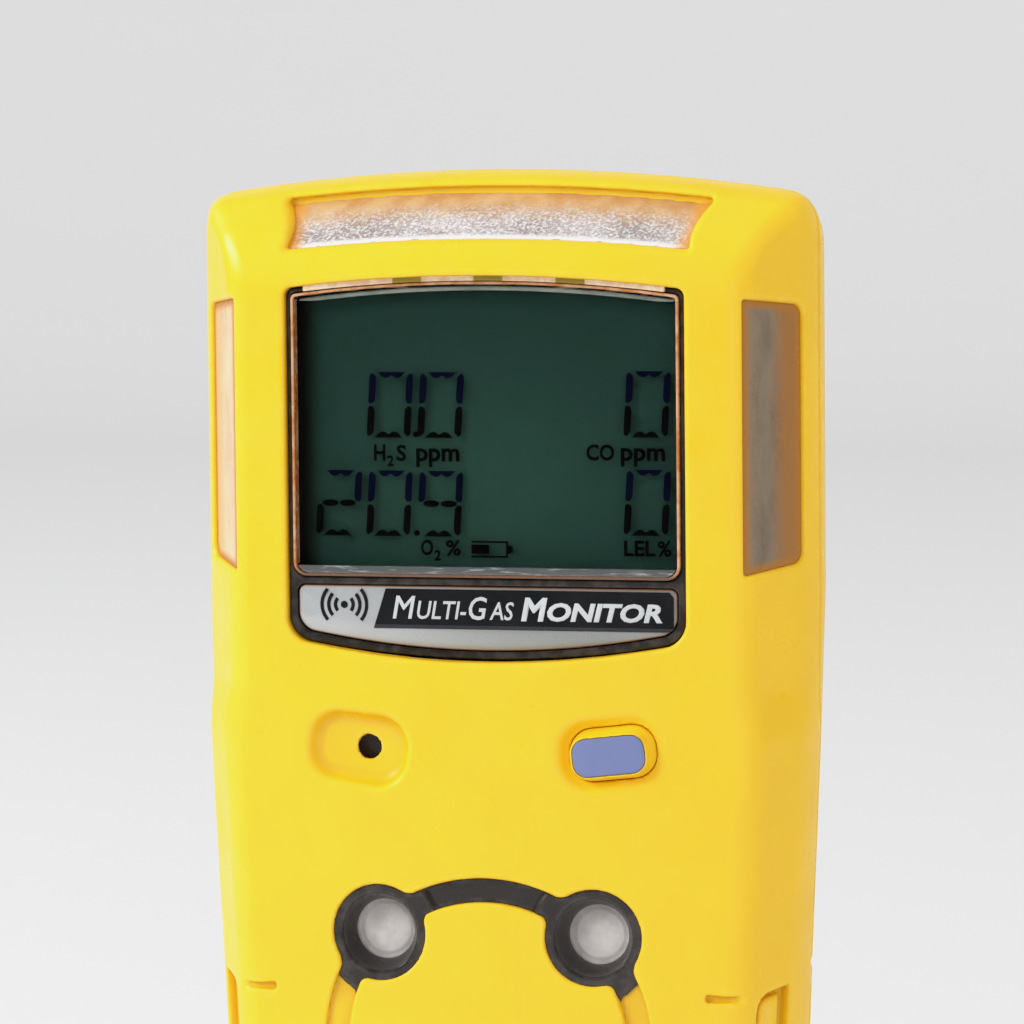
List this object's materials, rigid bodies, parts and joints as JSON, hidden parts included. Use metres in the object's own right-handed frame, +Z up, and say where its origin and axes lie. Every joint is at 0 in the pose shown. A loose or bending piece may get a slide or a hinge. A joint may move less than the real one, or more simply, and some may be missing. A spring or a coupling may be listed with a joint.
{
  "type": "portable gas detector",
  "caption": "Hand-held multi-gas monitor with a display, alarm windows, push button, sounder port, round gas ports and a spring clip on the back.",
  "frame": {"origin": "centre of the bounding box's floor, on the flat foot that the detector stands on", "axes": "+Z up along the case, -Y out of the display face, +X to the right of a person who reads the display"},
  "size_m": [0.06, 0.036, 0.113],
  "materials": {
    "yellow_shell": "satin moulded yellow plastic",
    "alarm_window": "frosted translucent plastic",
    "display_lens": "clear polished window",
    "black_plastic": "satin black plastic",
    "black_rubber": "soft black rubber",
    "name_strip": "printed silver and black, domed clear coat",
    "rear_label": "blank laminated label",
    "lcd_panel": "dark green reflective display",
    "lcd_backlight": "white light guide",
    "button_pad": "soft blue-grey pad",
    "port_screen": "white porous membrane",
    "sensor_can": "moulded cell body",
    "circuit_board": "green solder mask",
    "battery_wrap": "shrink-wrapped cell",
    "led_lens": "clear lamp",
    "infrared_window": "deep red infrared window",
    "steel": "nickel-plated steel",
    "gold_contact": "gold-plated contact"
  },
  "bodies": {
    "case": {"front_shell": "yellow_shell", "back_shell": "yellow_shell", "shell_seal": "black_rubber", "top_alarm_window": "alarm_window", "left_alarm_window": "alarm_window", "right_alarm_window": "alarm_window", "rear_label": "rear_label", "display_bezel": "black_plastic", "display_lens": "display_lens", "name_strip": "name_strip", "lcd_panel": "lcd_panel", "lcd_backlight": "lcd_backlight", "lcd_frame": "black_plastic", "lcd_contact_strip": "black_rubber", "switch_body": "black_plastic", "sounder": "black_plastic", "sounder_mesh": "black_rubber", "sensor_grille": "black_rubber", "oxygen_sensor": "sensor_can", "combustible_gas_sensor": "sensor_can", "hydrogen_sulphide_sensor": "sensor_can", "carbon_monoxide_sensor": "sensor_can", "main_board": "circuit_board", "sensor_board": "circuit_board", "board_header": "black_plastic", "battery_pack": "battery_wrap", "battery_cable": "black_rubber", "vibration_motor": "steel", "board_screw_left": "steel", "board_screw_right": "steel", "charging_socket": "black_plastic", "infrared_window": "infrared_window", "clip_base": "steel", "clip_pin": "steel", "clip_spring": "steel", "clip_screw": "steel", "shell_screw_top_left": "steel", "shell_screw_top_right": "steel", "shell_screw_middle_left": "steel", "shell_screw_middle_right": "steel", "shell_screw_bottom_left": "steel", "shell_screw_bottom_right": "steel", "port_screen_top_left": "port_screen", "port_screen_top_right": "port_screen", "port_screen_bottom_left": "port_screen", "port_screen_bottom_right": "port_screen", "alarm_led_top_left": "led_lens", "alarm_led_top_right": "led_lens", "alarm_led_left": "led_lens", "alarm_led_right": "led_lens", "charging_pin_1": "gold_contact", "charging_pin_2": "gold_contact", "charging_pin_3": "gold_contact", "charging_pin_4": "gold_contact"},
    "button": {"button_key": "yellow_shell", "button_pad": "button_pad", "switch_plunger": "black_plastic"},
    "vibration_rotor": {"vibration_weight": "steel"},
    "clip_lever": {"clip_jaw": "steel"}
  },
  "joints": [
    {"name": "button_press", "type": "slide", "parent": "case", "child": "button", "axis": [0, 1, 0], "range_m": [0, 0.0008], "stiffness_N_per_m": 1500},
    {"name": "vibration_spin", "type": "hinge", "parent": "case", "child": "vibration_rotor", "pos_m": [0, -0.0001, 0.007], "axis": [1, 0, 0], "continuous": true},
    {"name": "clip_open", "type": "hinge", "parent": "case", "child": "clip_lever", "pos_m": [0, 0.0122, 0.082], "axis": [-1, 0, 0], "range_deg": [0, 20], "deforming": ["clip_spring"]}
  ]
}
